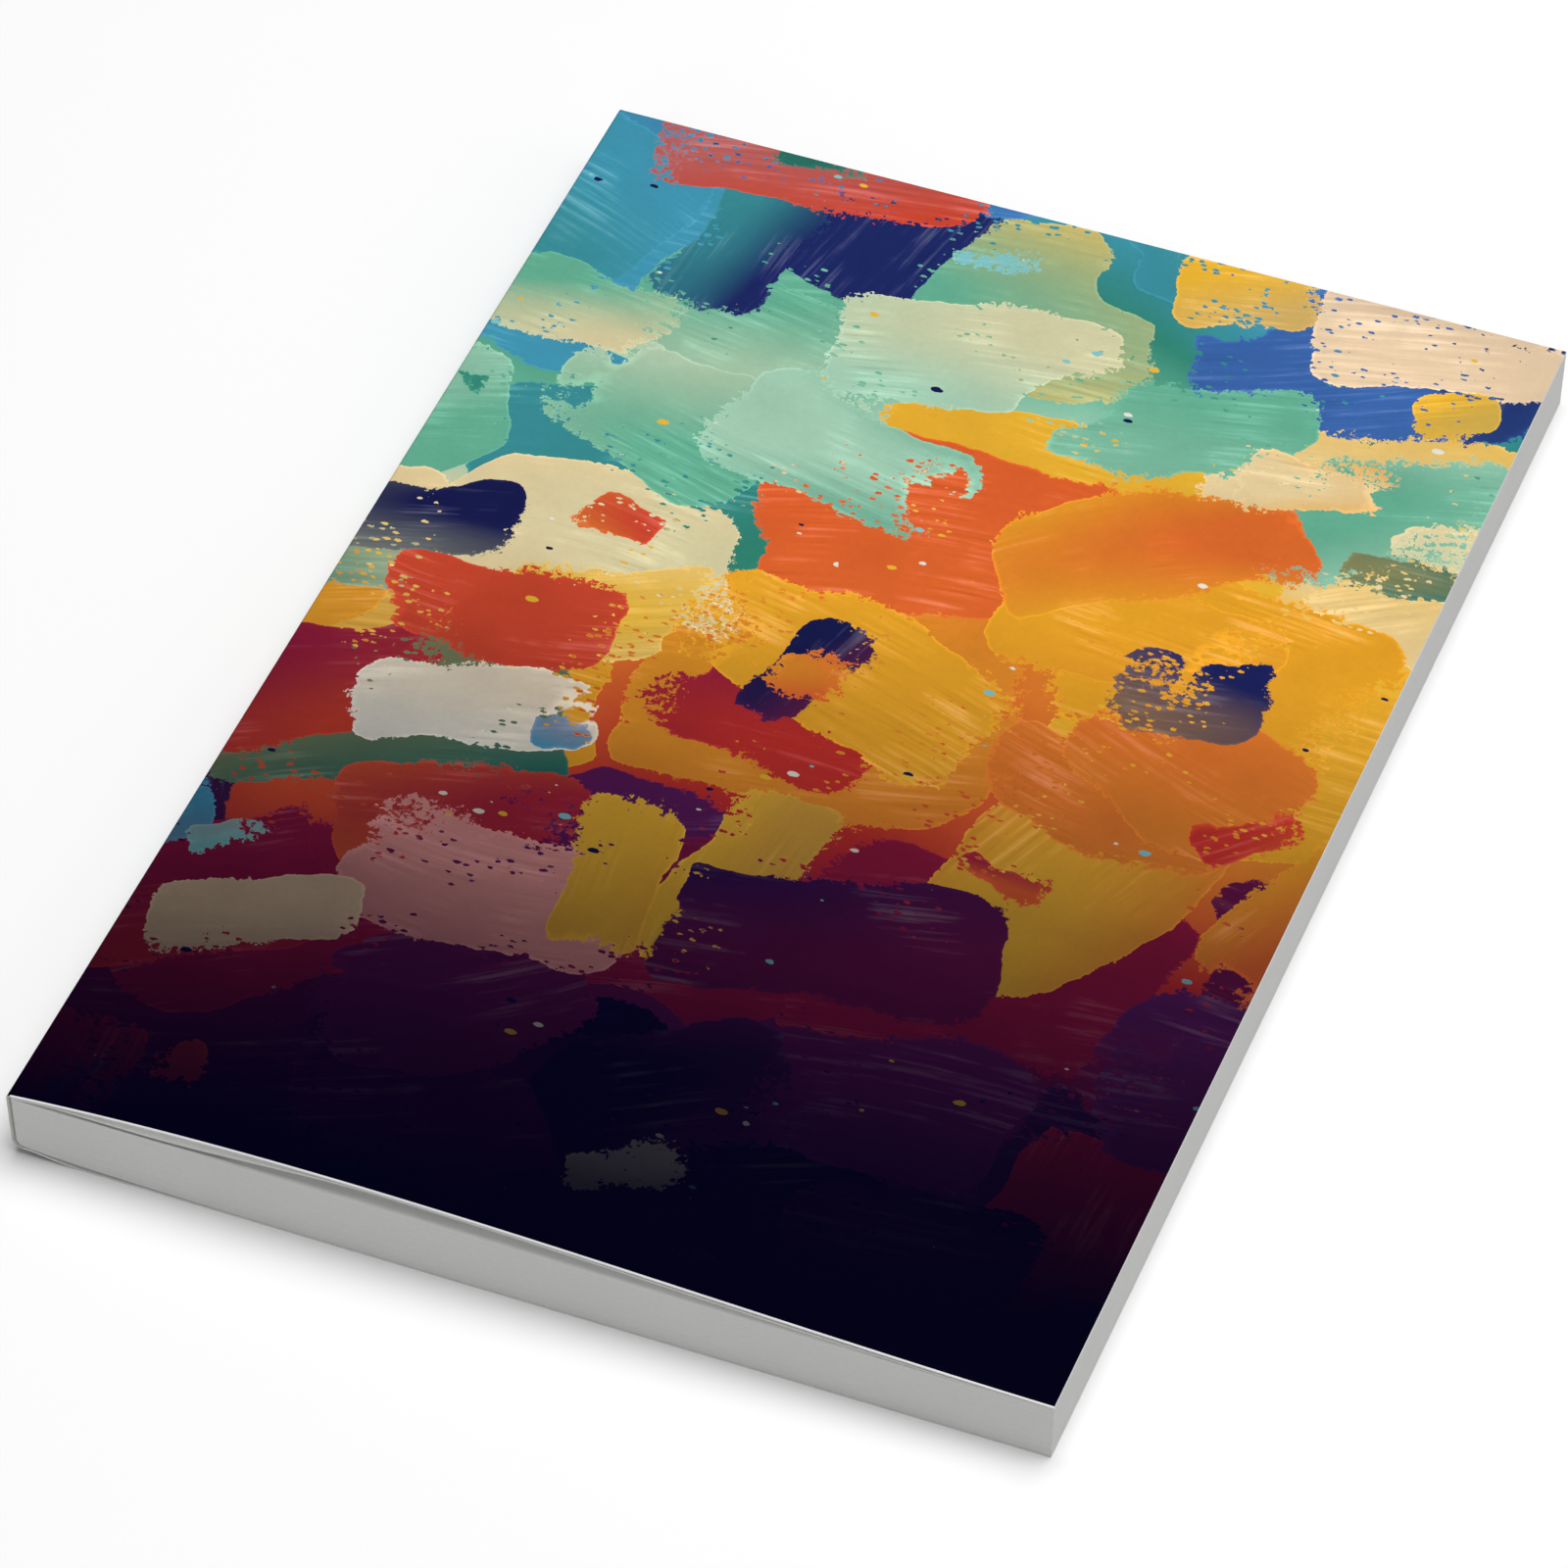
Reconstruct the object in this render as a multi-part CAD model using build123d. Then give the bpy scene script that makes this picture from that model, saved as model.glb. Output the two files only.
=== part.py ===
"""A closed softcover notebook that lies on its back cover.

Front and back cover, the spine strip between their two folds, the pages as one block and the glue behind them.
The front cover bows up at the tail and lies flat at the head, and the first leaves lift with it.
Millimetres. X runs from the spine to the fore-edge, Y from the tail to the head and Z up from the table.
The origin is the middle of the underside.
"""

import os

from build123d import *

os.makedirs("parts", exist_ok=True)

# Trimmed size of the closed notebook, and its thickness over both covers at the spine and at the fore-edge.
TRIM_WIDTH = 148.0
TRIM_LENGTH = 210.0
THICKNESS = 10.3

# Cover card. The spine stands a little clear of the table, because the glued back of the pages is pressed tight.
CARD = 0.3
SPINE_LIFT = 1.0
FRONT_FOLD_RADIUS = 0.6
BACK_FOLD_RADIUS = 1.5
FOLD_GAP = 0.15

# The front cover's bow at the tail: its greatest rise, and how its curve shares it out from spine to fore-edge.
COVER_BOW = 2.665
BOW_BY_SPINE = 2.175
BOW_BY_FORE_EDGE = 0.146

# The back cover comes down from its fold to the table over this width.
BACK_RAMP = 9.5

# Glue film behind the pages: its thickness, and how far it stays inside the cut edges at head and tail.
GLUE = 0.4
GLUE_SETBACK = 0.8

# The first leaves: their thickness together, the gap to the card over them, how far from the spine they start to rise,
# how much they float there, and how far from the spine they come up under the card.
LEAVES = 0.3
LEAF_GAP = 0.2
LEAF_RISE = 18.0
LEAF_FLOAT = 0.6
LEAF_MEETS = 50.0

# The slit under the first leaves: where it starts, where it closes before the fore-edge, how far the pages below it
# swell, and where along the length it runs out before the head.
SLIT_START = 6.0
SLIT_CLOSE = 8.0
SLIT_SWELL = 0.4
SLIT_STOP = 20.0

# Under the pages: clearance to the back cover, and the width beside the spine over which they stand off it.
BACK_GAP = 0.1
BACK_STANDOFF = 45.0

SPINE_TOP = SPINE_LIFT + THICKNESS
BLOCK_X = CARD + GLUE
TAIL = -TRIM_LENGTH / 2
HEAD = TRIM_LENGTH / 2


def at(x, y, z):
    """A point from its distance to the spine's outer face, its place along the length and its height."""
    return (x - TRIM_WIDTH / 2, y, z)


def flat_top(x):
    """Height of the front cover's outer face without its bow: a straight line from the fold to the fore-edge."""
    return SPINE_TOP - SPINE_LIFT * (x - FRONT_FOLD_RADIUS) / (TRIM_WIDTH - FRONT_FOLD_RADIUS)


def bow_height(lift, shares):
    """One control height of the bow's cubic on a part of its span; lift is 1 at the tail and 0 at the head."""
    heights = [0.0, BOW_BY_SPINE * COVER_BOW * lift, BOW_BY_FORE_EDGE * COVER_BOW * lift, 0.0]
    for share in shares:
        heights = [low + (high - low) * share for low, high in zip(heights, heights[1:])]
    return heights[0]


def bow_points(start, end, drop, y, lift):
    """Control points of the front cover's outer line from start to end, lowered by drop."""
    span = TRIM_WIDTH - FRONT_FOLD_RADIUS
    s = (start - FRONT_FOLD_RADIUS) / span
    e = (end - FRONT_FOLD_RADIUS) / span
    points = []
    for i, shares in enumerate([(s, s, s), (s, s, e), (s, e, e), (e, e, e)]):
        x = start + (end - start) * i / 3
        points.append(at(x, y, flat_top(x) + bow_height(lift, shares) - drop))
    return points


def leaf_points(drop, end, y, lift):
    """The first leaves' upper line, lowered by drop: a near-level run, a rise and a run under the card up to end."""
    under = CARD + LEAF_GAP + drop
    start = Vector(*at(BLOCK_X, y, flat_top(BLOCK_X) - under))
    rise = Vector(*at(LEAF_RISE, y, flat_top(LEAF_RISE) - under + LEAF_FLOAT * lift))
    run = [Vector(*p) for p in bow_points(LEAF_MEETS, end, under, y, lift)]
    level = (rise - start) * ((LEAF_MEETS - LEAF_RISE) / (LEAF_RISE - BLOCK_X) / 3)
    along = (run[1] - run[0]) * ((LEAF_MEETS - LEAF_RISE) / (end - LEAF_MEETS))
    return start, [rise, rise + level, run[0] - along, run[0]], run


# Front cover: one sheet, bowed at the tail and flat at the head, with straight lines between.
def front_section(y, lift):
    outer = bow_points(FRONT_FOLD_RADIUS + FOLD_GAP, TRIM_WIDTH, 0, y, lift)
    inner = bow_points(FRONT_FOLD_RADIUS + FOLD_GAP, TRIM_WIDTH, CARD, y, lift)
    edges = [
        Bezier(*outer),
        Line(outer[-1], inner[-1]),
        Bezier(*reversed(inner)),
        Line(inner[0], outer[0]),
    ]
    return Face(Wire(edges))


front_cover = loft([front_section(TAIL, 1), front_section(HEAD, 0)], ruled=True)

# Back cover: flat on the table, with a soft step up to the fold beside the spine.
back_start = BACK_FOLD_RADIUS + FOLD_GAP
back_flat = BACK_FOLD_RADIUS + BACK_RAMP


def back_section(y):
    def step(z):
        return [
            at(back_start, y, SPINE_LIFT + z),
            at(back_start + BACK_RAMP * 0.3, y, SPINE_LIFT + z),
            at(back_flat - BACK_RAMP * 0.5, y, z),
            at(back_flat, y, z),
        ]

    edges = [
        Bezier(*step(0)),
        Line(at(back_flat, y, 0), at(TRIM_WIDTH, y, 0)),
        Line(at(TRIM_WIDTH, y, 0), at(TRIM_WIDTH, y, CARD)),
        Line(at(TRIM_WIDTH, y, CARD), at(back_flat, y, CARD)),
        Bezier(*reversed(step(CARD))),
        Line(step(CARD)[0], step(0)[0]),
    ]
    return Face(Wire(edges))


back_cover = extrude(back_section(TAIL), amount=TRIM_LENGTH, dir=(0, 1, 0))


# Spine: the strip of card between the folds, turned over tightly at the front and in a wide curve at the back.
def quarter(centre_x, centre_z, radius, y, from_spine):
    """Quarter turn of the card beside the spine, above its centre for the front fold and below it for the back fold."""
    side = at(centre_x - radius, y, centre_z)
    end = at(centre_x, y, centre_z + radius * from_spine)
    middle = at(centre_x - radius * 0.5**0.5, y, centre_z + radius * from_spine * 0.5**0.5)
    return side, middle, end


def spine_section(y):
    front = [FRONT_FOLD_RADIUS, SPINE_TOP - FRONT_FOLD_RADIUS]
    back = [BACK_FOLD_RADIUS, SPINE_LIFT + BACK_FOLD_RADIUS]
    front_out = quarter(*front, FRONT_FOLD_RADIUS, y, 1)
    front_in = quarter(*front, FRONT_FOLD_RADIUS - CARD, y, 1)
    back_out = quarter(*back, BACK_FOLD_RADIUS, y, -1)
    back_in = quarter(*back, BACK_FOLD_RADIUS - CARD, y, -1)
    edges = [
        ThreePointArc(*reversed(front_out)),
        Line(front_out[0], back_out[0]),
        ThreePointArc(*back_out),
        Line(back_out[2], back_in[2]),
        ThreePointArc(*reversed(back_in)),
        Line(back_in[0], front_in[0]),
        ThreePointArc(*front_in),
        Line(front_in[2], front_out[2]),
    ]
    return Face(Wire(edges))


spine = extrude(spine_section(TAIL), amount=TRIM_LENGTH, dir=(0, 1, 0))

# Glue: a flat film between the straight part of the spine and the cut back of the pages.
glue_low = SPINE_LIFT + BACK_FOLD_RADIUS
glue_high = SPINE_TOP - FRONT_FOLD_RADIUS
glue_length = TRIM_LENGTH - 2 * GLUE_SETBACK
spine_glue = Pos(*at(CARD + GLUE / 2, 0, (glue_low + glue_high) / 2)) * Box(GLUE, glue_length, glue_high - glue_low)


# Pages: one block. Its upper line follows the first leaves, and its lower corner follows the wide fold of the spine.
def block_section(y, lift):
    start, rise, run = leaf_points(0, TRIM_WIDTH, y, lift)
    corner = BACK_FOLD_RADIUS - BLOCK_X
    side, middle, end = quarter(BACK_FOLD_RADIUS, SPINE_LIFT + BACK_FOLD_RADIUS, corner, y, -1)
    rest = CARD + BACK_GAP
    standoff = [
        end,
        at(BACK_FOLD_RADIUS + BACK_STANDOFF * 0.08, y, (end[2] + rest) / 2),
        at(BACK_STANDOFF * 0.4, y, rest),
        at(BACK_STANDOFF, y, rest),
    ]
    edges = [
        Line(side, start),
        Line(start, rise[0]),
        Bezier(*rise),
        Bezier(*run),
        Line(run[-1], at(TRIM_WIDTH, y, rest)),
        Line(at(TRIM_WIDTH, y, rest), at(BACK_STANDOFF, y, rest)),
        Bezier(*reversed(standoff)),
        ThreePointArc(end, middle, side),
    ]
    return Face(Wire(edges))


# The slit under the first leaves is widest at the tail and runs out to a point before the head.
def slit_section(y):
    start, rise, run = leaf_points(LEAVES, TRIM_WIDTH - SLIT_CLOSE, y, 1)
    share = (SLIT_START - BLOCK_X) / (LEAF_RISE - BLOCK_X)
    point = start + (rise[0] - start) * share
    close = run[-1]
    swell = Vector(0, 0, SLIT_SWELL)
    edges = [
        Line(point, rise[0]),
        Bezier(*rise),
        Bezier(*run),
        Bezier(close, close + (point - close) * 0.3 + swell, point + (close - point) * 0.2 + swell, point),
    ]
    return Face(Wire(edges))


slit_end = flat_top(LEAF_MEETS) - CARD - LEAF_GAP - LEAVES
slit = loft([slit_section(TAIL), Vertex(*at(LEAF_MEETS, HEAD - SLIT_STOP, slit_end))], ruled=True)
slit_mouth = extrude(slit_section(TAIL), amount=1, dir=(0, -1, 0))
block = loft([block_section(TAIL, 1), block_section(HEAD, 0)], ruled=True)
page_block = block - slit - slit_mouth

export_step(front_cover, "parts/front_cover.step")
export_step(spine, "parts/spine.step")
export_step(back_cover, "parts/back_cover.step")
export_step(page_block, "parts/page_block.step")
export_step(spine_glue, "parts/spine_glue.step")
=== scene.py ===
"""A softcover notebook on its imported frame: pages, first leaves, glue, covers, spine, floor and light."""

import math

import bpy
import numpy as np
from mathutils import Matrix


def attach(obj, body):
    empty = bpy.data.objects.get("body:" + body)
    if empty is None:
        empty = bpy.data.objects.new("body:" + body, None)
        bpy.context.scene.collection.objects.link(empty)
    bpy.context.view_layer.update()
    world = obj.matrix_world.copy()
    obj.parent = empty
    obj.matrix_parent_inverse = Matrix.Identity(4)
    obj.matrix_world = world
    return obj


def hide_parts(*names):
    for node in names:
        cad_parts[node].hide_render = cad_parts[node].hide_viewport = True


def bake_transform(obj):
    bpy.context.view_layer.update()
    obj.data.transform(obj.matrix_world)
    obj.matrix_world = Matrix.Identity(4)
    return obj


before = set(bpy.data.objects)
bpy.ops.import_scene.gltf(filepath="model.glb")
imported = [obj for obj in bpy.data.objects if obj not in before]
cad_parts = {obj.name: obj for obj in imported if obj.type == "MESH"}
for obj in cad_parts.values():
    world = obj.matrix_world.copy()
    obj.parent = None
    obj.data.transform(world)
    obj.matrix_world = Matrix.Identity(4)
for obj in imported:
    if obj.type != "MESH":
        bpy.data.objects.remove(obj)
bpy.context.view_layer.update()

# Pages: about a hundred leaves of white offset paper, glued along their backs and cut on three sides at one
# stroke. The cut leans in at the fore-edge, and its faces are even with hair lines between leaves. Pressed
# tight at the spine, the pages stand off the back cover there. Lengths are in millimetres.
TRIM_WIDTH, TRIM_LENGTH, THICKNESS = 148.0, 210.0, 10.3
TAIL, HEAD = -TRIM_LENGTH / 2, TRIM_LENGTH / 2
CARD, GLUE, SPINE_LIFT = 0.3, 0.4, 1.0
BLOCK_X = CARD + GLUE
FRONT_FOLD_RADIUS, BACK_FOLD_RADIUS = 0.6, 1.5
LEAF_GAP, LEAVES = 0.05, 0.28
SWELL, SWELL_FROM, SWELL_TO = 0.4, 4.0, 126.0
BACK_GAP, BACK_STANDOFF = 0.1, 45.0
STANDOFF_LEAVING, STANDOFF_ARRIVING = 0.08, 0.4
TAIL_CURL, CURL_FROM, CURL_TO, CURLED_LEAVES = 1.2, 20.0, 128.0, 5
FORE_LEAN = 0.45
LEAF_ROWS, LEAF_SETBACK = 96, 0.04
ON_EDGE = 0.01
MM_PER_METRE = 1000
PAPER_WHITE, PAPER_FIBRE = (0.84, 0.84, 0.83), 1400.0


def cubic(start, leaving, arriving, end, t):
    """A cubic curve's value from its end values and the two control values between them."""
    return start * (1 - t) ** 3 + 3 * leaving * t * (1 - t) ** 2 + 3 * arriving * t**2 * (1 - t) + end * t**3


def half_wave(x, start, end, skew=1.0):
    """Half a sine wave between two places, and 0 outside them. A skew over 1 moves its peak to the end."""
    return np.sin(np.pi * np.clip((x - start) / (end - start), 0, 1) ** skew)


def lift_along(y):
    """Share of the front cover's bow along the length: 1 at the tail, falling evenly to 0 at the head."""
    return np.clip(0.5 - y / TRIM_LENGTH, 0, 1)


def flat_top(x):
    """Height of the front cover's outer face with no bow: a straight fall from its fold to the fore-edge."""
    return SPINE_LIFT + THICKNESS - SPINE_LIFT * (x - FRONT_FOLD_RADIUS) / (TRIM_WIDTH - FRONT_FOLD_RADIUS)


def pages_top(x, y):
    """Upper face of the pages: level under the first leaves, with a half-wave swell where those lift."""
    swell = SWELL * half_wave(x, SWELL_FROM, SWELL_TO) * lift_along(y)
    return flat_top(x) - CARD - LEAF_GAP - LEAVES + swell


def pages_under(x):
    """Lower face of the pages: a quarter round at the back fold, then a cubic down onto the back cover."""
    corner = BACK_FOLD_RADIUS - BLOCK_X
    inward = BACK_FOLD_RADIUS - np.minimum(x, BACK_FOLD_RADIUS)
    quarter = SPINE_LIFT + BACK_FOLD_RADIUS - np.sqrt(np.clip(corner**2 - inward**2, 0, None))
    t = np.linspace(0, 1, 200)
    leaving = BACK_FOLD_RADIUS + BACK_STANDOFF * STANDOFF_LEAVING
    run = cubic(BACK_FOLD_RADIUS, leaving, BACK_STANDOFF * STANDOFF_ARRIVING, BACK_STANDOFF, t)
    start, rest = SPINE_LIFT + BLOCK_X, CARD + BACK_GAP
    height = cubic(start, (start + rest) / 2, rest, rest, t)
    return np.where(x < BACK_FOLD_RADIUS, quarter, np.interp(x, run, height))


def closed_slab(outer, inner, rows=1):
    """Points and faces of a closed slab: two point grids, joined round their border by rows of quads.

    Faces come in the order outer, inner, border. The rings are the point numbers of each row of the border.
    """
    n, m = outer.shape[:2]
    index = np.arange(n * m).reshape(n, m)
    quads = np.stack([index[:-1, :-1], index[1:, :-1], index[1:, 1:], index[:-1, 1:]], -1).reshape(-1, 4)
    loop = np.concatenate([index[:, 0], index[-1, 1:], index[-2::-1, -1], index[0, -2:0:-1]])
    outer, inner = outer.reshape(-1, 3), inner.reshape(-1, 3)
    share = np.arange(1, rows)[:, None, None] / rows
    between = outer[loop] + (inner[loop] - outer[loop]) * share
    rings = np.arange((rows - 1) * len(loop)).reshape(rows - 1, len(loop)) + 2 * n * m
    rings = np.concatenate([loop[None], rings, loop[None] + n * m])
    following = np.roll(rings, -1, axis=1)
    border = np.stack([rings[:-1], rings[1:], following[1:], following[:-1]], -1).reshape(-1, 4)
    points = np.concatenate([outer, inner, between.reshape(-1, 3)])
    return points, [quads, quads[:, ::-1] + n * m, border], rings


def new_piece(name, points, faces, materials, sharp=40):
    """A piece in the row's frame, from points in millimetres measured from the spine's outer face.

    Materials go to the outer, inner and border faces in turn, and the last one to what is left.
    """
    mesh = bpy.data.meshes.new(name)
    mesh.from_pydata((points - [TRIM_WIDTH / 2, 0, 0]) / MM_PER_METRE, [], np.concatenate(faces))
    for material in materials:
        mesh.materials.append(material)
    which = np.repeat(np.minimum(np.arange(3), len(materials) - 1), [len(group) for group in faces])
    mesh.polygons.foreach_set("material_index", which)
    mesh.shade_smooth()
    mesh.set_sharp_from_angle(angle=math.radians(sharp))
    piece = bpy.data.objects.new(name, mesh)
    bpy.context.scene.collection.objects.link(piece)
    return piece


def add_node(tree, kind, inputs=None, **settings):
    """A shader node: settings are its properties, and inputs give each socket a value or a link."""
    made = tree.nodes.new("ShaderNode" + kind)
    for name, value in settings.items():
        setattr(made, name, value)
    for socket, value in (inputs or {}).items():
        if isinstance(value, bpy.types.NodeSocket):
            tree.links.new(value, made.inputs[socket])
        else:
            made.inputs[socket].default_value = value
    return made


def work_out(tree, operation, *values):
    """Output of one sum on plain values or on other outputs."""
    return add_node(tree, "Math", dict(enumerate(values)), operation=operation).outputs[0]


def stretch(tree, value, low, high, to_low=0.0, to_high=1.0):
    """Output that takes a value between two limits to a new pair of limits and holds it there."""
    limits = {"Value": value, "From Min": low, "From Max": high, "To Min": to_low, "To Max": to_high}
    return add_node(tree, "MapRange", limits).outputs[0]


def noise(tree, vector, scale, detail=3.0, roughness=0.5):
    """Output of a cloud noise read at a vector."""
    inputs = {"Vector": vector, "Scale": scale, "Detail": detail, "Roughness": roughness}
    return add_node(tree, "TexNoise", inputs).outputs["Fac"]


def line_noise(tree, value, scale, detail):
    """Output of a noise along one value."""
    inputs = {"W": value, "Scale": scale, "Detail": detail}
    return add_node(tree, "TexNoise", inputs, noise_dimensions="1D").outputs[0]


def new_material(name, **shader):
    """A material, its tree and its shader with plain values on the sockets, and its Object coordinates."""
    material = bpy.data.materials.new(name)
    material.use_nodes = True
    tree = material.node_tree
    surface = tree.nodes["Principled BSDF"]
    for socket, value in shader.items():
        surface.inputs[socket.replace("_", " ")].default_value = value
    return material, tree, surface, add_node(tree, "TexCoord").outputs["Object"]


def link_bump(tree, surface, height, strength, distance):
    """Feeds a height to the shader's normal."""
    bump = add_node(tree, "Bump", {"Height": height, "Strength": strength, "Distance": distance})
    tree.links.new(bump.outputs[0], surface.inputs["Normal"])


def toned(tree, colour, tone):
    """Output of a colour times a tone."""
    return add_node(tree, "VectorMath", {0: colour, "Scale": tone}, operation="SCALE").outputs[0]


def link_tint(tree, surface, colour, tone):
    """Feeds a colour times a tone to the shader's base colour."""
    tree.links.new(toned(tree, colour, tone), surface.inputs["Base Color"])


def link_roughness(tree, surface, value, smooth, rough):
    """Feeds the shader's roughness from a noise: smooth in its hollows and rough on its peaks."""
    tree.links.new(stretch(tree, value, 0.3, 0.7, smooth, rough), surface.inputs["Roughness"])


page_paper, tree, surface, place = new_material("page_paper", Specular_IOR_Level=0.25)
fibre = noise(tree, place, PAPER_FIBRE)
felt = work_out(tree, "ADD", fibre, noise(tree, place, 45.0, 2.0))
leaf_number = add_node(tree, "Attribute", attribute_name="leaf").outputs["Fac"]
gather, hair = line_noise(tree, leaf_number, 0.31, 3.0), line_noise(tree, leaf_number, 1.7, 1.0)
mottle = stretch(tree, felt, 0.7, 1.3, 0.97, 1.02)
leaf_line = stretch(tree, work_out(tree, "ADD", gather, hair), 0.7, 1.3, 0.965, 1.02)
link_tint(tree, surface, PAPER_WHITE, work_out(tree, "MULTIPLY", mottle, leaf_line))
link_roughness(tree, surface, fibre, 0.84, 0.96)
link_bump(tree, surface, felt, 0.15, 0.00002)

by_fold = [BLOCK_X, 1.1, BACK_FOLD_RADIUS, 2.2]
grid_x = np.concatenate([by_fold, np.linspace(3, TRIM_WIDTH, 78)])
x, y = np.meshgrid(grid_x, np.linspace(TAIL, HEAD, 64), indexing="ij")
upper, lower = np.stack([x, y, pages_top(x, y)], -1), np.stack([x, y, pages_under(x)], -1)
points, faces, rings = closed_slab(upper, lower, LEAF_ROWS)
leaf = np.zeros(len(points))
leaf[rings] = np.arange(LEAF_ROWS + 1)[:, None]
set_back = np.random.default_rng(5).uniform(0, LEAF_SETBACK, LEAF_ROWS + 1)
set_back[[0, -1]] = 0
set_back = set_back[leaf.astype(int)]
reach = TAIL_CURL * half_wave(points[:, 0], CURL_FROM, CURL_TO) ** 1.5
curl = reach * (1 - np.sqrt(1 - np.clip(1 - leaf / CURLED_LEAVES, 0, 1) ** 2))
at_tail = points[:, 1] < TAIL + ON_EDGE
at_head = points[:, 1] > HEAD - ON_EDGE
at_fore = points[:, 0] > TRIM_WIDTH - ON_EDGE
on_border = np.isin(np.arange(len(points)), rings)
lean = FORE_LEAN * np.clip(1 - points[:, 2] / THICKNESS, 0, 1)
points[:, 1] += on_border * (at_tail * (set_back + curl) - at_head * set_back)
points[:, 0] -= at_fore * (on_border * set_back + lean)
pages = new_piece("pages", points, faces, [page_paper])
pages.data.attributes.new("leaf", "FLOAT", "POINT").data.foreach_set("value", leaf)
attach(pages, "pages")
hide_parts("page_block")

# First leaves: the top three leaves of the same paper, which cling to the bowed front cover at the tail.
# They rise from the pages by the spine to the card a third of the way across, and lie down at the fore-edge.
# The trimmer has dragged their tail edges down, so behind those edges they curve up to the card.
COVER_BOW, BOW_BY_SPINE, BOW_BY_FORE_EDGE = 2.665, 2.175, 0.146
LEAF = 0.085
LEAF_PITCH = 1.02 * LEAF
LEAF_STEP, LEAF_FLOAT, LEAF_RISE, LEAF_MEETS = 5.0, 0.6, 18.0, 55.0
HANG, HANG_SKEW = 0.28, 1.6
DRAG_DEPTH, DRAG_SHARE, EVEN_FROM = 1.4, 0.85, 4.0
FAN_FROM, FAN_TO = 3.0, 133.0
# Each leaf's set-back at the tail, and how far it fans away from the first.
LEAF_SET = ((0, 0), (0.03, 0.03), (0, 0.05))
LEAF_WHITE = (0.88, 0.88, 0.87)


def bow(x):
    """Rise of the front cover at the tail: a cubic with control heights as shares of the greatest rise."""
    u = np.clip((x - FRONT_FOLD_RADIUS) / (TRIM_WIDTH - FRONT_FOLD_RADIUS), 0, 1)
    return cubic(0, COVER_BOW * BOW_BY_SPINE, COVER_BOW * BOW_BY_FORE_EDGE, 0, u)


def under_card(x, y):
    """Height of a leaf that hangs under the bowed card, by a skewed half wave, widest near the fore-edge."""
    gap = LEAF_GAP + HANG * half_wave(x, LEAF_MEETS, TRIM_WIDTH, HANG_SKEW) * lift_along(y)
    return flat_top(x) + bow(x) * lift_along(y) - CARD - gap


def leaf_top(x, y):
    """Upper face of the first leaf: a soft step at the spine, a level run, a cubic rise, the card's line."""
    step = np.clip((x - BLOCK_X) / LEAF_STEP, 0, 1)
    level = flat_top(x) - CARD - LEAF_GAP + LEAF_FLOAT * lift_along(y) * step**2 * (3 - 2 * step)
    span = LEAF_MEETS - LEAF_RISE
    low = flat_top(LEAF_RISE) - CARD - LEAF_GAP + LEAF_FLOAT * lift_along(y)
    low_slope = -SPINE_LIFT / (TRIM_WIDTH - FRONT_FOLD_RADIUS)
    high = under_card(LEAF_MEETS, y)
    high_slope = under_card(LEAF_MEETS + 0.5, y) - under_card(LEAF_MEETS - 0.5, y)
    t = np.clip((x - LEAF_RISE) / span, 0, 1)
    rise = cubic(low, low + low_slope * span / 3, high - high_slope * span / 3, high, t)
    return np.where(x < LEAF_RISE, level, np.where(x > LEAF_MEETS, under_card(x, y), rise))


def behind_edge(x, y):
    """Rise of the leaves behind their dragged edges: a share of the room to the card, by a quarter wave."""
    room = flat_top(x) + bow(x) * lift_along(y) - CARD - LEAF_GAP - leaf_top(x, y)
    wave = np.sin(np.pi / 2 * np.clip((y - TAIL) / DRAG_DEPTH, 0, 1))
    return np.where(x > LEAF_MEETS, 0, np.where(room > 0, DRAG_SHARE * wave * room, room))


leaf_paper, tree, surface, place = new_material("leaf_paper", Specular_IOR_Level=0.25)
fibre = noise(tree, place, PAPER_FIBRE)
link_tint(tree, surface, LEAF_WHITE, stretch(tree, fibre, 0.3, 0.7, 0.97, 1.02))
link_roughness(tree, surface, fibre, 0.84, 0.96)
link_bump(tree, surface, fibre, 0.15, 0.00002)

grid_x = np.concatenate([[BLOCK_X], np.linspace(2, TRIM_WIDTH, 100)])
for number, (back, fan) in enumerate(LEAF_SET):
    by_tail = TAIL + back + DRAG_DEPTH * np.linspace(0, 1, 9)
    grid_y = np.append(by_tail, np.linspace(TAIL + EVEN_FROM, HEAD, 48))
    x, y = np.meshgrid(grid_x, grid_y, indexing="ij")
    apart = fan * half_wave(x, FAN_FROM, FAN_TO) ** 2 * lift_along(y)
    top = leaf_top(x, y) + behind_edge(x, y) - number * LEAF_PITCH - apart
    points, faces, _ = closed_slab(np.stack([x, y, top], -1), np.stack([x, y, top - LEAF], -1))
    first_leaf = new_piece(f"first_leaf_{number + 1}", points, faces, [leaf_paper])
    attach(first_leaf, "pages")

# Spine glue: a film of hot-melt between the cut backs of the pages and the card. It sets milky and a little
# glossy, and shows only at the head and the tail, where the trimmer leaves its end slightly uneven.
GLUE_SETBACK, GLUE_CLEAR = 0.7, 0.002
GLUE_MILK = (0.74, 0.73, 0.68)
spine_bottom, spine_top = SPINE_LIFT + BACK_FOLD_RADIUS, SPINE_LIFT + THICKNESS - FRONT_FOLD_RADIUS
binding_glue, tree, surface, place = new_material("binding_glue", Specular_IOR_Level=0.4)
milk = noise(tree, place, 900.0)
link_tint(tree, surface, GLUE_MILK, stretch(tree, milk, 0.3, 0.7, 0.9, 1.06))
link_roughness(tree, surface, milk, 0.36, 0.54)
link_bump(tree, surface, milk, 0.3, 0.00005)

grid_y = np.linspace(TAIL + GLUE_SETBACK, HEAD - GLUE_SETBACK, 80)
z, y = np.meshgrid(np.linspace(spine_bottom, spine_top, 40), grid_y, indexing="ij")
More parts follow.
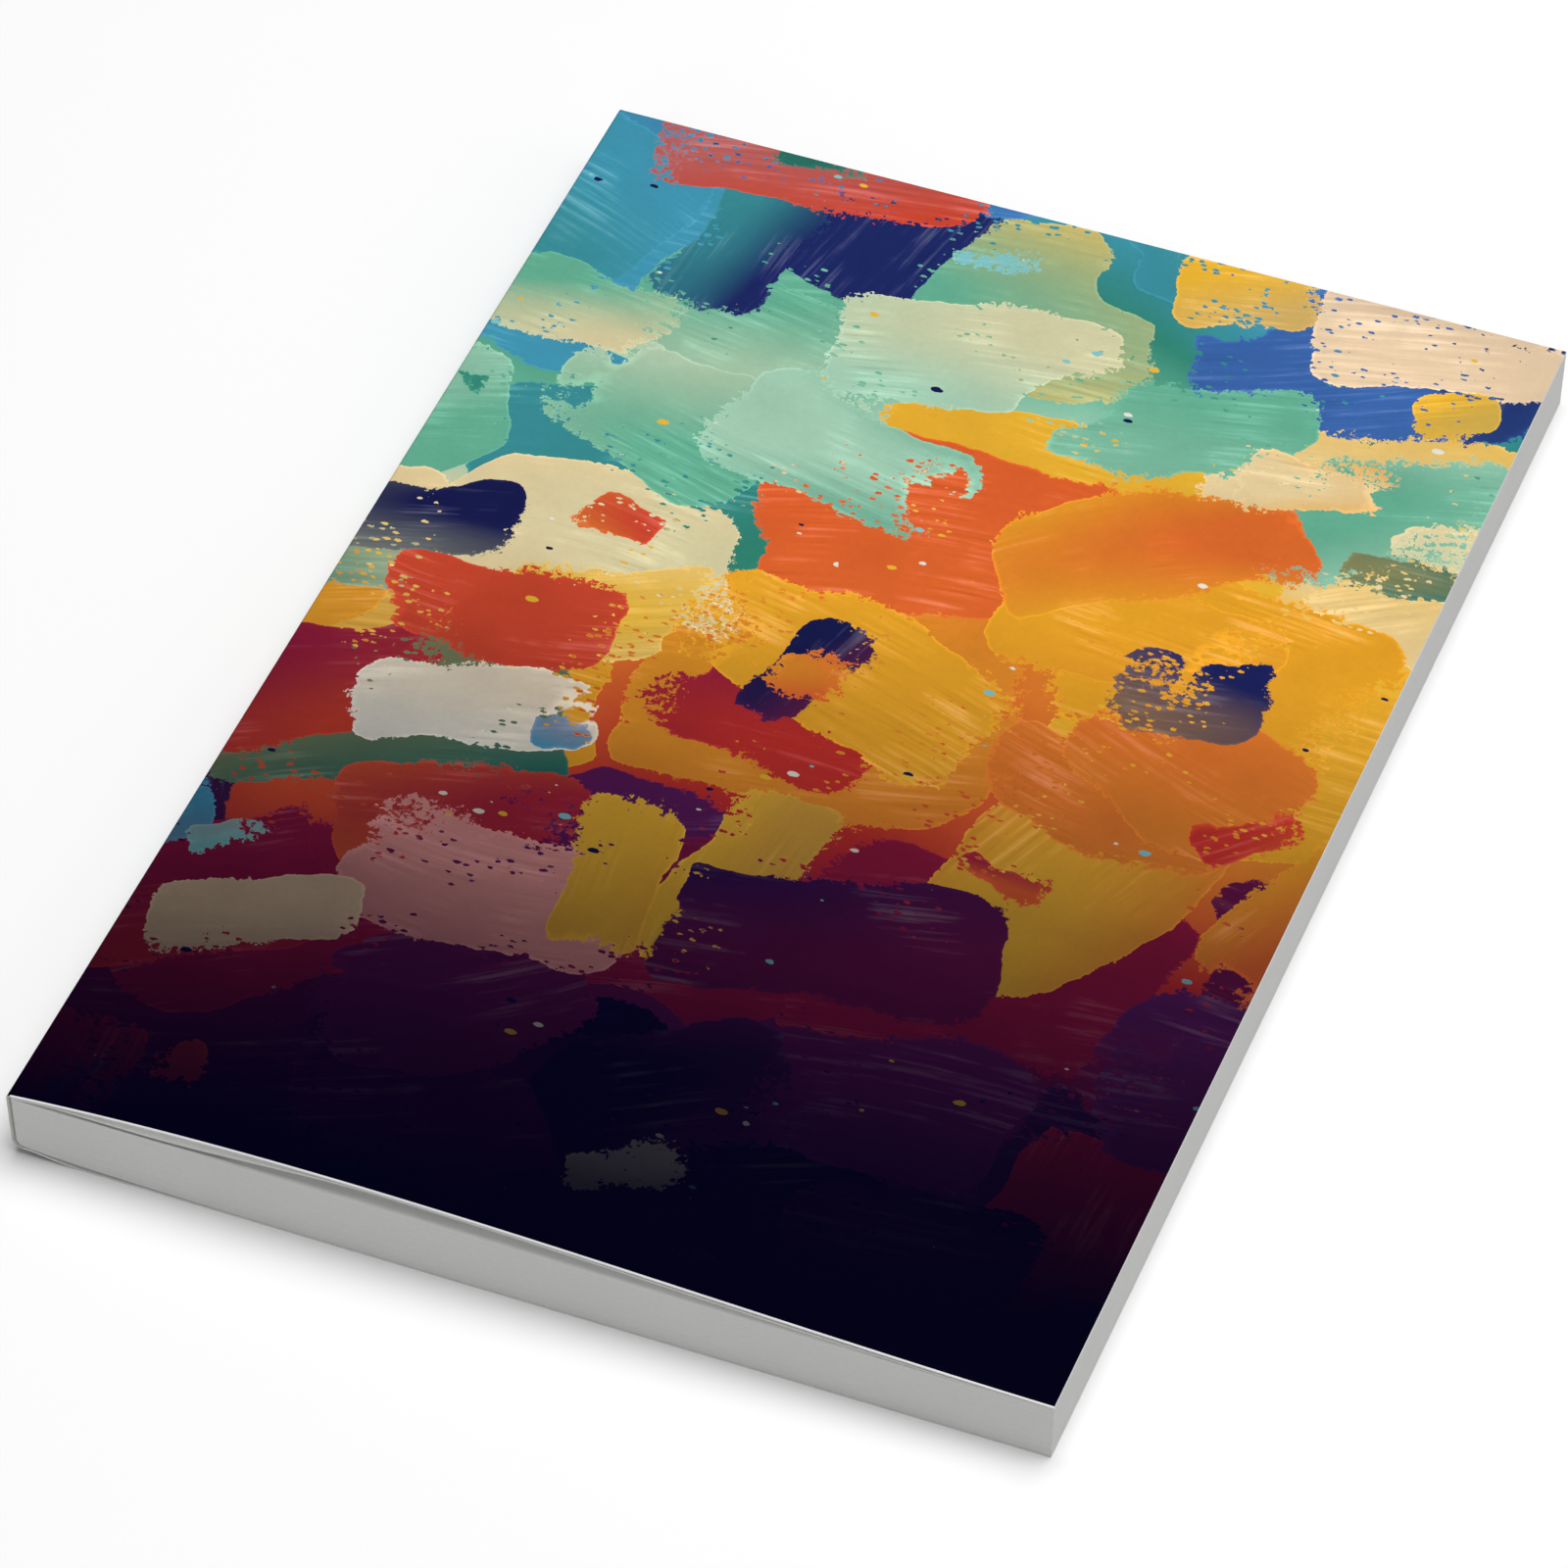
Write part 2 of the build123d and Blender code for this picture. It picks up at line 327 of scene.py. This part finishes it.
# The ends follow two small waves up the spine.
uneven = 0.05 * np.sin(3.1 * z + 1) + 0.03 * np.sin(8.3 * z)
y = y + uneven * y / HEAD
card_side = np.stack([CARD + GLUE_CLEAR + 0 * z, y, z], -1)
page_side = np.stack([BLOCK_X - GLUE_CLEAR + 0 * z, y, z], -1)
points, faces, _ = closed_slab(card_side, page_side)
spine_glue = new_piece("glue_film", points, faces, [binding_glue])
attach(spine_glue, "pages")
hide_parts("spine_glue")

# Front cover: white board, about 280 g per square metre, printed and matt laminated outside, bare inside. It
# bows most a third of the way across at the tail and is flat at the head, so straight lines run along it.
# The trimmer breaks the upper half of its cut edge, most at the tail, where the white core shows.
TAIL_LEAN, CUT_LEAN = 0.18, 0.05
CARD_WHITE, CARD_FIBRE = (0.89, 0.89, 0.88), 1100.0
INK_ORDER_RGB = (
    (24, 16, 56), (52, 22, 74), (94, 34, 96), (104, 26, 70), (146, 30, 62), (196, 52, 42),
    (220, 96, 46), (222, 128, 44), (228, 160, 40), (232, 184, 58), (230, 206, 156), (164, 206, 180),
    (100, 174, 146), (50, 132, 114), (66, 150, 178), (64, 110, 180), (30, 40, 98),
)
INK_ACCENT_RGB = (
    (232, 228, 216), (24, 28, 76), (230, 156, 150), (128, 194, 198), (234, 180, 52),
    (202, 70, 48), (74, 152, 188), (28, 34, 88), (42, 110, 98), (234, 206, 170),
)
# The print darkens to night at the tail. The fade runs between two places along the length, in metres.
NIGHT = (0.0006, 0.0003, 0.0078, 1)
FADE_FROM, FADE_TO, FADE_SLANT, FADE_POWER = -0.105, 0.02, -0.12, 1.9
# Each pass of strokes: lattice step along and across, half length from and to, half width from and to, share
# kept, share in accent inks, and how fast the dry end fades.
PASSES = (
    (64, 42, 27, 36, 16, 22, 1.00, 0.06, 0.30),
    (56, 36, 20, 29, 11, 17, 0.90, 0.10, 0.20),
    (48, 31, 15, 23, 8, 13, 0.80, 0.16, 0.15),
    (62, 42, 15, 25, 8, 12, 0.80, 0.34, 0.12),
    (52, 37, 9, 17, 4, 8, 0.60, 0.50, 0.12),
    (44, 33, 3, 8, 1.6, 4, 0.42, 0.60, 0.20),
)
# Strokes whose middles lie further than this from the cover's middle can't reach it.
REACH_ACROSS, REACH_ALONG = 115, 145
STROKE_APART = 1.3


def ink(screen_values):
    """Inks as linear light from their 0 to 255 screen values: a power curve with a straight foot."""
    value = np.array(screen_values) / 255
    return np.where(value > 0.04045, ((value + 0.055) / 1.055) ** 2.4, value / 12.92)


INK_ORDER, INK_ACCENT = ink(INK_ORDER_RGB), ink(INK_ACCENT_RGB)


def ink_place(x, y):
    """Place in the order of inks, 0 to 1: mostly the distance from the tail, with a slow wave across."""
    wave = 0.05 * np.sin(x / 21 + 1) + 0.035 * np.sin(y / 17 - x / 33)
    up = np.clip(y / TRIM_LENGTH, 0, 1.1) ** 1.25
    return np.clip(0.02 + 0.86 * up + 0.1 * (1 - x / TRIM_WIDTH) + wave, 0, 0.999)


def ink_between(place):
    """Ink at a place in the order, mixed from the two nearest."""
    step = place * (len(INK_ORDER) - 1)
    low = step.astype(int)
    share = (step - low)[..., None]
    return INK_ORDER[low] * (1 - share) + INK_ORDER[np.minimum(low + 1, len(INK_ORDER) - 1)] * share


def lay_strokes(number):
    """Strokes of one pass on a turned lattice with jitter, as arrays of one value for each stroke."""
    along, across, long_from, long_to, wide_from, wide_to, kept, accents, _ = PASSES[number]
    dice = np.random.default_rng(70 + number)
    i, j = (axis.ravel() for axis in np.meshgrid(np.arange(-8, 9), np.arange(-10, 11), indexing="ij"))
    lean = math.radians(9 + 17 * number)
    u = (i + 0.5 * (j % 2) + dice.uniform(-0.16, 0.16, i.size)) * along
    v = (j + dice.uniform(-0.16, 0.16, j.size)) * across
    x = TRIM_WIDTH / 2 + u * math.cos(lean) - v * math.sin(lean)
    y = TRIM_LENGTH / 2 + u * math.sin(lean) + v * math.cos(lean)
    turn = np.radians(11 + 16 * np.sin(x / 52 + y / 41) + dice.normal(0, 9, x.size))
    turn = turn + np.radians(72) * (dice.random(x.size) < 0.16) + np.pi * (dice.random(x.size) < 0.5)
    length = dice.uniform(long_from, long_to, x.size)
    width = dice.uniform(wide_from, wide_to, x.size)
    bend = dice.normal(0, 0.0035, x.size)
    place = np.clip(ink_place(x, y) + dice.normal(0, 0.055, x.size), 0, 0.999)
    first = INK_ORDER[(place * len(INK_ORDER)).astype(int)]
    second = ink_between(np.clip(place + dice.normal(0, 0.07, x.size), 0, 0.999))
    chosen = INK_ACCENT[dice.integers(0, len(INK_ACCENT), x.size)]
    accent = (dice.random(x.size) < accents)[:, None]
    first, second = np.where(accent, chosen, first), np.where(accent, chosen * 0.75 + second * 0.25, second)
    near = (np.abs(x - TRIM_WIDTH / 2) < REACH_ACROSS) & (np.abs(y - TRIM_LENGTH / 2) < REACH_ALONG)
    near = near & (dice.random(x.size) < kept)
    seed = dice.uniform(0, 60, x.size)
    return [value[near] for value in (x, y, turn, length, width, bend, seed, first, second)]


def brush_pass(x, y, number):
    """One pass at places x across and y along: distance inside a stroke, its ink and its brush coordinates.

    Each stroke is a bent rectangle with rounded corners. Its edge value is the distance inside that outline,
    held down by a slow ramp at the dry end. A place takes the stroke that it lies deepest in, and where two
    meet neither shows.
    """
    dry = PASSES[number][-1]
    *sizes, first, second = lay_strokes(number)
    cx, cy, turn, length, width, bend, seed = (value[:, None] for value in sizes)
    dx, dy = x.ravel()[None] - cx, y.ravel()[None] - cy
    a = dx * np.cos(turn) + dy * np.sin(turn)
    b = dy * np.cos(turn) - dx * np.sin(turn) + bend * a**2
    half_width = width * (1 + 0.08 * np.sin(a * 2.2 / width + seed) - 0.10 * a / length)
    round_off = 0.55 * width
    qa, qb = np.abs(a) - (length - round_off), np.abs(b) - (half_width - round_off)
    outside = np.hypot(np.maximum(qa, 0), np.maximum(qb, 0)) + np.minimum(np.maximum(qa, qb), 0) - round_off
    edge = np.minimum(-outside, (length - a) * dry)
    order = np.argsort(-edge, axis=0)[:2]
    best, next_best = np.take_along_axis(edge, order, axis=0)
    pick, column = order[0], np.arange(order.shape[1])
    a, b, half_width, seed = a[pick, column], b[pick, column], half_width[pick, column], seed[pick, 0]
    blend = 0.45 + 0.45 * np.sin(1.7 * b / half_width + seed) + 0.35 * a / length[pick, 0]
    blend = np.clip(blend, 0, 1)[:, None]
    colour = first[pick] * (1 - blend) + second[pick] * blend
    edge = np.minimum(best, best - next_best - 2 * STROKE_APART)
    return edge, colour, np.stack([a * 0.05, b * 0.9, seed], -1)


def put_values(piece, name, kind, values, count):
    """Stores values on the first points of a piece, which are its printed face, and zero on the rest."""
    full = np.zeros((len(piece.data.vertices), values.size // count))
    full[:count] = values.reshape(count, -1)
    layer = piece.data.attributes.new(name, kind, "POINT").data
    layer.foreach_set("value" if kind == "FLOAT" else "vector", full.ravel())


def print_design(piece, across, along):
    """Puts the ground colour and every pass's edge, ink and brush values on a piece's printed face."""
    count = across.size
    put_values(piece, "ground", "FLOAT_VECTOR", ink_between(ink_place(across, along)), count)
    for number in range(len(PASSES)):
        edge, colour, brush = brush_pass(across, along, number)
        put_values(piece, f"edge_{number}", "FLOAT", edge, count)
        put_values(piece, f"ink_{number}", "FLOAT_VECTOR", colour, count)
        put_values(piece, f"brush_{number}", "FLOAT_VECTOR", brush, count)


def lay_over(tree, share, under, over):
    """Output of one colour laid over another by a share."""
    return add_node(tree, "Mix", {0: share, 6: under, 7: over}, data_type="RGBA").outputs[2]


def cells(tree, vector, turn, per_metre):
    """Distance and chance colour of Voronoi cells, turned by an angle, so many to the metre each way."""
    mapping = {"Vector": vector, "Rotation": (0, 0, turn), "Scale": (*per_metre, 1)}
    turned = add_node(tree, "Mapping", mapping).outputs[0]
    found = add_node(tree, "TexVoronoi", {"Vector": turned, "Scale": 1.0}).outputs
    return found["Distance"], add_node(tree, "SeparateColor", {0: found["Color"]}).outputs


print_film, tree, surface, place = new_material("print_film", Specular_IOR_Level=0.006)
grain = noise(tree, place, 900.0, 4.0, 0.75)
wash = add_node(tree, "TexNoise", {"Vector": place, "Scale": 62.0, "Detail": 5.0}).outputs["Color"]
wash = add_node(tree, "SeparateColor", {0: wash}).outputs
# A dry brush: clouds of the cover where the edges wander, tear and scratch, and small cells that it skips.
wander = stretch(tree, wash[0], 0.3, 0.7, -1.5, 1.5)
dryness = stretch(tree, wash[1], 0.46, 0.62, 0.5, 10.0)
scratchy = stretch(tree, wash[1], 0.44, 0.56, 0.4, 1.8)
tatter = work_out(tree, "MULTIPLY_ADD", work_out(tree, "SUBTRACT", grain, 0.5), dryness, wander)
distance, chance = cells(tree, place, -0.3, (640, 1250))
skip = stretch(tree, work_out(tree, "ADD", grain, distance), 0.78, 0.88, 1.0, 0.0)
skips_here = stretch(tree, wash[2], 0.5, 0.6, 0.0, -10.0)
depth = work_out(tree, "MULTIPLY", work_out(tree, "POWER", chance[0], 3.0), skips_here)
tatter = work_out(tree, "MULTIPLY_ADD", skip, depth, tatter)
patchy = stretch(tree, wash[2], 0.45, 0.6)
# The passes, one over the other, each with a lighter ridge at its edge and streaks from the bristles.
picture = add_node(tree, "Attribute", attribute_name="ground").outputs["Vector"]
for number in range(len(PASSES)):
    edge = add_node(tree, "Attribute", attribute_name=f"edge_{number}").outputs["Fac"]
    colour = add_node(tree, "Attribute", attribute_name=f"ink_{number}").outputs["Vector"]
    brush = add_node(tree, "Attribute", attribute_name=f"brush_{number}").outputs["Vector"]
    bristle = work_out(tree, "SUBTRACT", noise(tree, brush, 1.0, 4.0, 0.6), 0.5)
    rough = work_out(tree, "ADD", work_out(tree, "MULTIPLY_ADD", bristle, scratchy, edge), tatter)
    covered = stretch(tree, rough, -0.04, 0.04)
    ridge = stretch(tree, rough, 0.0, 0.45, 1.3, 1.0)
    streak = work_out(tree, "MULTIPLY", bristle, patchy)
    pale = stretch(tree, streak, 0.02, 0.2, 0.0, 0.08)
    streak = work_out(tree, "MULTIPLY_ADD", streak, 0.9, ridge)
    stroke = add_node(tree, "VectorMath", {0: colour, 1: streak, 2: pale}, operation="MULTIPLY_ADD")
    picture = lay_over(tree, covered, picture, stroke.outputs[0])
# Spatter: round flecks of four inks in some clouds of the cover.
distance, chance = cells(tree, place, -0.25, (240, 420))
size = stretch(tree, chance[0], 0.3, 1.0, 0.0, 0.26)
size = work_out(tree, "MULTIPLY", size, stretch(tree, wash[1], 0.54, 0.6))
inside = work_out(tree, "SUBTRACT", size, work_out(tree, "MULTIPLY_ADD", grain, 0.16, distance))
fleck = add_node(tree, "ValToRGB", {"Fac": chance[1]})
fleck.color_ramp.interpolation = "CONSTANT"
fleck.color_ramp.elements[0].color = (*INK_ACCENT[0], 1)
fleck.color_ramp.elements[1].position = 0.3
fleck.color_ramp.elements[1].color = (*INK_ACCENT[4], 1)
fleck.color_ramp.elements.new(0.55).color = (*INK_ACCENT[1], 1)
fleck.color_ramp.elements.new(0.8).color = (*INK_ACCENT[3], 1)
picture = lay_over(tree, stretch(tree, inside, -0.08, -0.06), picture, fleck.outputs[0])
tone = stretch(tree, work_out(tree, "MULTIPLY_ADD", grain, 0.35, wash[2]), 0.4, 0.95, 0.84, 1.1)
sides = add_node(tree, "SeparateXYZ", {0: place}).outputs
fade = stretch(tree, work_out(tree, "MULTIPLY_ADD", sides[0], FADE_SLANT, sides[1]), FADE_FROM, FADE_TO)
picture = lay_over(tree, work_out(tree, "POWER", fade, FADE_POWER), NIGHT, toned(tree, picture, tone))
tree.links.new(picture, surface.inputs["Base Color"])
link_roughness(tree, surface, grain, 0.3, 0.44)
link_bump(tree, surface, grain, 0.04, 0.00002)

bare_card, tree, surface, place = new_material("bare_card", Specular_IOR_Level=0.3)
fibre = noise(tree, place, CARD_FIBRE, 4.0)
link_tint(tree, surface, CARD_WHITE, stretch(tree, fibre, 0.25, 0.75, 0.94, 1.04))
link_roughness(tree, surface, fibre, 0.68, 0.82)
link_bump(tree, surface, fibre, 0.2, 0.00003)

by_fold = FRONT_FOLD_RADIUS + np.array([0, 0.1, 0.2, 0.3, 0.42, 0.55, 0.7, 0.85, 1.0, 1.25, 1.6])
grid_x = np.concatenate([by_fold, np.linspace(3, TRIM_WIDTH, 146)])
x, y = np.meshgrid(grid_x, np.linspace(TAIL, HEAD, 211), indexing="ij")
print_x = np.minimum(x, TRIM_WIDTH - CUT_LEAN)
print_y = np.clip(y, TAIL + TAIL_LEAN, HEAD - CUT_LEAN)
z = flat_top(x) + bow(x) * lift_along(y)
points, faces, rings = closed_slab(np.stack([print_x, print_y, z], -1), np.stack([x, y, z - CARD], -1), 2)
points[rings[1], :2] = points[rings[2], :2]
front_cover = new_piece("front_panel", points, faces, [print_film, bare_card])
print_design(front_cover, x, y - TAIL)
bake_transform(front_cover)
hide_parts("front_cover")

# Spine: the strip of the card over the backs of the pages, with the print running over it from the front. It
# is folded tightly at the front and turned in a wide, soft curve at the back. Its cut ends are a dull grey.
DULL_WHITE = (0.68, 0.68, 0.62)
dull_cut_end, tree, surface, place = new_material("dull_cut_end", Specular_IOR_Level=0.3)
fibre = noise(tree, place, CARD_FIBRE, 4.0)
link_tint(tree, surface, DULL_WHITE, stretch(tree, fibre, 0.25, 0.75, 0.88, 1.1))
link_roughness(tree, surface, fibre, 0.62, 0.78)
link_bump(tree, surface, fibre, 0.2, 0.00003)
quarter_turn = np.linspace(0, np.pi / 2, 9)
straight = np.linspace(spine_bottom, spine_top, 14)[1:-1]


def spine_profile(depth):
    """Line of the card from back fold to front fold, depth inside its outer face: round, straight, round."""
    back, front = BACK_FOLD_RADIUS - depth, FRONT_FOLD_RADIUS - depth
    back_x = BACK_FOLD_RADIUS - back * np.sin(quarter_turn)
    back_z = spine_bottom - back * np.cos(quarter_turn)
    front_x = FRONT_FOLD_RADIUS - front * np.cos(quarter_turn)
    front_z = spine_top + front * np.sin(quarter_turn)
    across = np.concatenate([back_x, 0 * straight + depth, front_x])
    return across, np.concatenate([back_z, straight, front_z])


outer_x, outer_z = spine_profile(0)
inner_x, inner_z = spine_profile(CARD)
walk = np.concatenate([[0], np.cumsum(np.hypot(np.diff(outer_x), np.diff(outer_z)))])
across, y = np.meshgrid(walk - walk[-1] + FRONT_FOLD_RADIUS, np.linspace(TAIL, HEAD, 211), indexing="ij")
outer = np.stack([outer_x[:, None] + 0 * y, y, outer_z[:, None] + 0 * y], -1)
inner = np.stack([inner_x[:, None] + 0 * y, y, inner_z[:, None] + 0 * y], -1)
points, faces, _ = closed_slab(outer, inner)
spine = new_piece("spine_strip", points, faces, [print_film, bare_card, dull_cut_end])
print_design(spine, across, y - TAIL)
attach(spine, "pages")
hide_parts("spine")

# Back cover: the same card under the pages, printed in one plain night blue. It comes down from the spine's
# wide fold in a soft cubic step, with its control points at two shares of the width, and lies on the table.
BACK_RAMP, RAMP_LEAVING, RAMP_ARRIVING = 9.5, 0.3, 0.5
NIGHT_BLUE = (0.0034, 0.0032, 0.0145)
night_film, tree, surface, place = new_material("night_film", Specular_IOR_Level=0.01)
link_tint(tree, surface, NIGHT_BLUE, stretch(tree, noise(tree, place, 20.0), 0.3, 0.7, 0.7, 1.4))
grain = noise(tree, place, 800.0, 4.0)
link_roughness(tree, surface, grain, 0.32, 0.44)
link_bump(tree, surface, grain, 0.04, 0.00002)

step = np.linspace(0, 1, 24)
flat_from = BACK_FOLD_RADIUS + BACK_RAMP
leaving, arriving = BACK_FOLD_RADIUS + BACK_RAMP * RAMP_LEAVING, flat_from - BACK_RAMP * RAMP_ARRIVING
ramp_x = cubic(BACK_FOLD_RADIUS, leaving, arriving, flat_from, step)
ramp_z = cubic(SPINE_LIFT, SPINE_LIFT, 0, 0, step)
flat_x = np.linspace(flat_from, TRIM_WIDTH - FORE_LEAN, 60)[1:]
profile_x, profile_z = np.append(ramp_x, flat_x), np.append(ramp_z, 0 * flat_x)
x, y = np.meshgrid(profile_x, np.linspace(HEAD, TAIL, 70), indexing="ij")
z = profile_z[:, None] + 0 * y
points, faces, _ = closed_slab(np.stack([x, y, z], -1), np.stack([x, y, z + CARD], -1))
back_cover = new_piece("back_panel", points, faces, [night_film, bare_card])
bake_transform(back_cover)
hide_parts("back_cover")

# Floor: a wide pale sheet under the notebook that keeps its soft shadow. It looks white to the camera, and
# throws less light back onto the notebook than it shows. Its half side is in metres.
FLOOR_REACH = 4.0
FLOOR_SEEN, FLOOR_BOUNCE = (0.99, 0.99, 0.99, 1), (0.6, 0.6, 0.6, 1)
corners = FLOOR_REACH * np.array([(-1, -1, 0), (1, -1, 0), (1, 1, 0), (-1, 1, 0)])
floor_mesh = bpy.data.meshes.new("floor")
floor_mesh.from_pydata(corners, [], [(0, 1, 2, 3)])
floor = bpy.data.objects.new("floor", floor_mesh)
bpy.context.scene.collection.objects.link(floor)
floor_white, tree, surface, _ = new_material("floor_white", Roughness=0.9, Specular_IOR_Level=0.0)
seen = add_node(tree, "LightPath").outputs["Is Camera Ray"]
tree.links.new(lay_over(tree, seen, FLOOR_BOUNCE, FLOOR_SEEN), surface.inputs["Base Color"])
floor_mesh.materials.append(floor_white)

# Light: a dim white room that looks white to the camera, a large soft lamp overhead and weaker ones at the
# tail and the fore-edge. Power is in watts, and sides and places are in metres.
ROOM_LIGHT = 0.16
world = bpy.data.worlds.new("room")
bpy.context.scene.world = world
world.use_nodes = True
tree = world.node_tree
room = tree.nodes["Background"]
room.inputs["Color"].default_value = (1, 1, 1, 1)
seen = add_node(tree, "LightPath").outputs["Is Camera Ray"]
tree.links.new(stretch(tree, seen, 0.0, 1.0, ROOM_LIGHT, 1.0), room.inputs["Strength"])


def soft_lamp(name, power, side, place):
    """A square area lamp of that power and side at a place, turned to the notebook."""
    lamp = bpy.data.lights.new(name, "AREA")
    lamp.energy, lamp.size = power, side
    holder = bpy.data.objects.new(name, lamp)
    bpy.context.scene.collection.objects.link(holder)
    azimuth, tilt = math.atan2(place[0], -place[1]), math.acos(place[2] / math.hypot(*place))
    turned = Matrix.Rotation(azimuth, 4, "Z") @ Matrix.Rotation(tilt, 4, "X")
    holder.matrix_world = Matrix.Translation(place) @ turned


soft_lamp("overhead", 31, 1.4, (0.25, 0.3, 1.8))
soft_lamp("tail_fill", 4.0, 1.0, (0.1, -1.58, 0.92))
soft_lamp("fore_edge_fill", 2.5, 1.2, (1.6, -0.2, 0.9))

# Camera: a long lens above the tail and a little towards the fore-edge, as the photograph was taken. Its
# place is in metres, its lens in millimetres and its angles in degrees.
CAMERA_PLACE = (0.300062, -0.712087, 0.798209)
LENS, AZIMUTH, ELEVATION, ROLL = 183.406, 23.2379, 46.0818, -1.8702
camera = bpy.data.objects.new("camera", bpy.data.cameras.new("camera"))
bpy.context.scene.collection.objects.link(camera)
camera.data.lens, camera.data.sensor_width, camera.data.clip_start = LENS, 36.0, 0.01
camera.matrix_world = (
    Matrix.Translation(CAMERA_PLACE)
    @ Matrix.Rotation(math.radians(AZIMUTH), 4, "Z")
    @ Matrix.Rotation(math.radians(90 - ELEVATION), 4, "X")
    @ Matrix.Rotation(math.radians(ROLL), 4, "Z")
)
bpy.context.scene.camera = camera
bpy.context.scene.view_settings.view_transform = "Standard"
